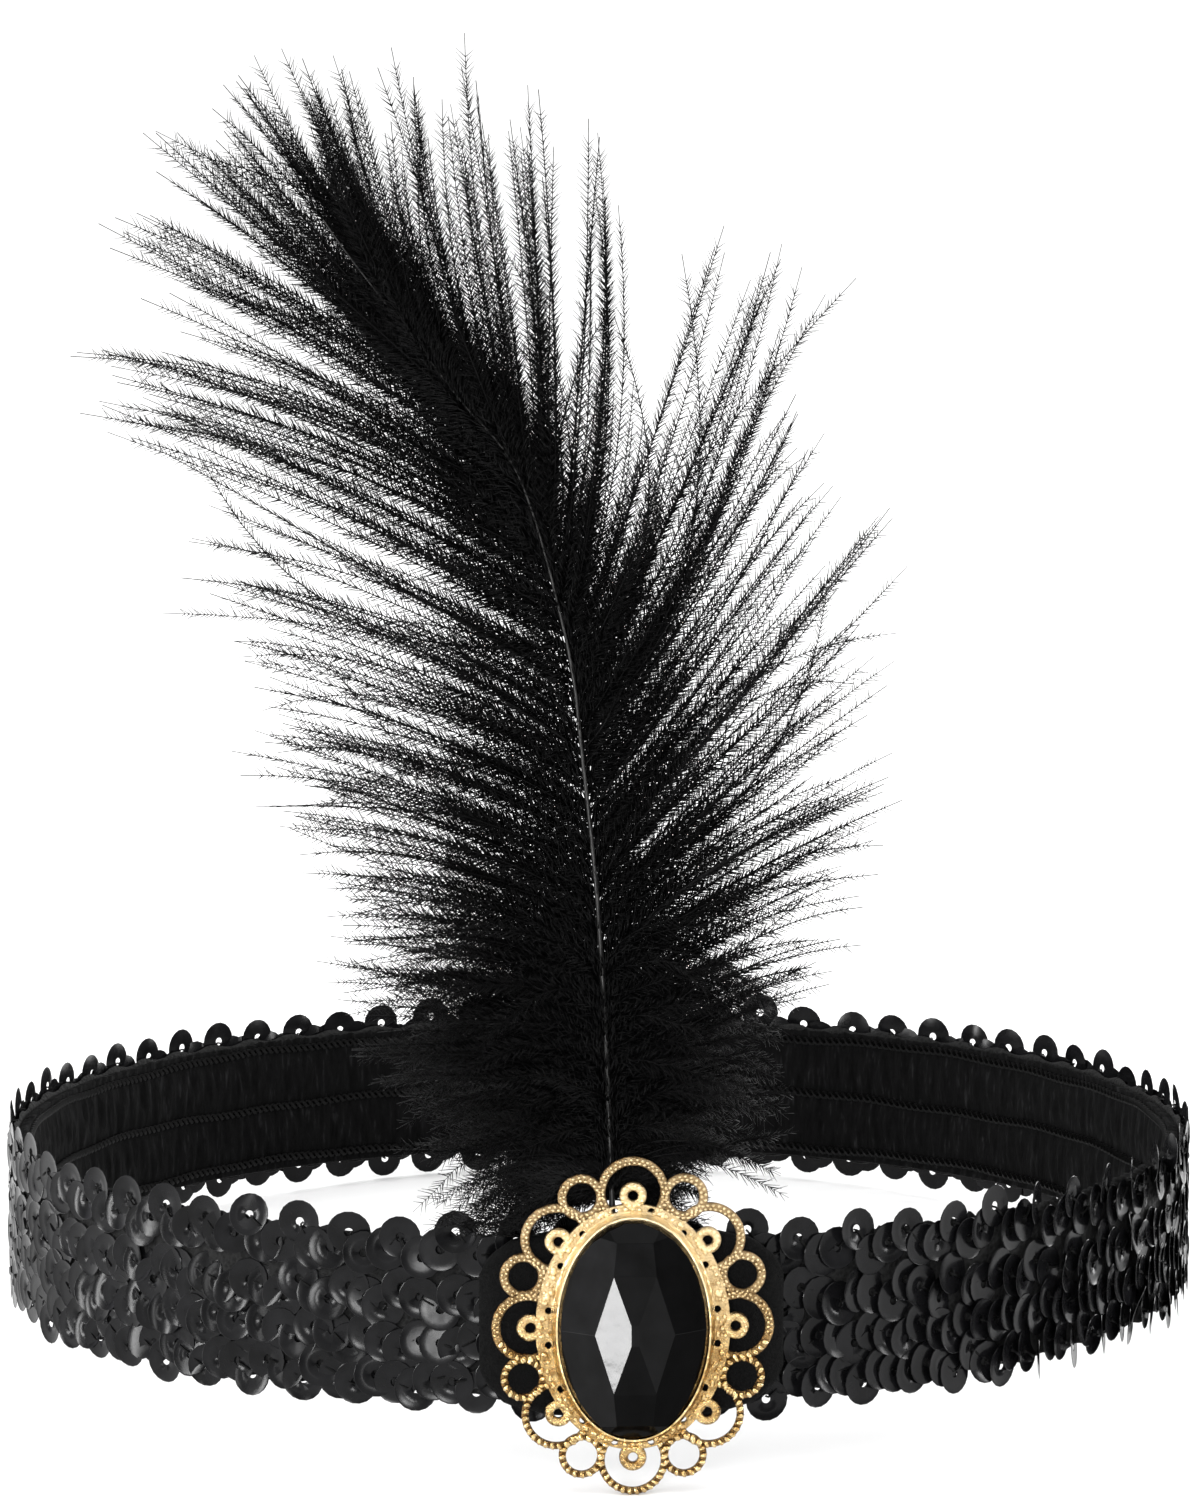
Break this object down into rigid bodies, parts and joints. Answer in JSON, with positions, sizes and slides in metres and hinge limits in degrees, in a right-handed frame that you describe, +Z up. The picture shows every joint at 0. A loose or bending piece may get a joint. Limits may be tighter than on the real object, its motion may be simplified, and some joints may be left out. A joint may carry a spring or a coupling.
{
  "type": "flapper feather headband",
  "caption": "Stretch sequin headband with an oval faceted stone in a pierced gilt brooch and an upright plume.",
  "frame": {"origin": "centre of the bounding box on the surface that the headband rests on", "axes": "+Z up along the plume, -Y the side that the brooch faces, +X to the right of the brooch as it is looked at"},
  "size_m": [0.1794, 0.1892, 0.2003],
  "materials": {
    "elastic": "matte gathered knit",
    "sequins": "glossy",
    "felt": "matte felt",
    "gilt_metal": "satin gilt",
    "stone": "polished facets",
    "feather": "soft dyed barbs"
  },
  "bodies": {
    "root": {"elastic_band": "elastic", "sequin_trim": "sequins", "backing_pad": "felt", "brooch_setting": "gilt_metal", "stone": "stone", "feather": "feather"}
  },
  "joints": []
}
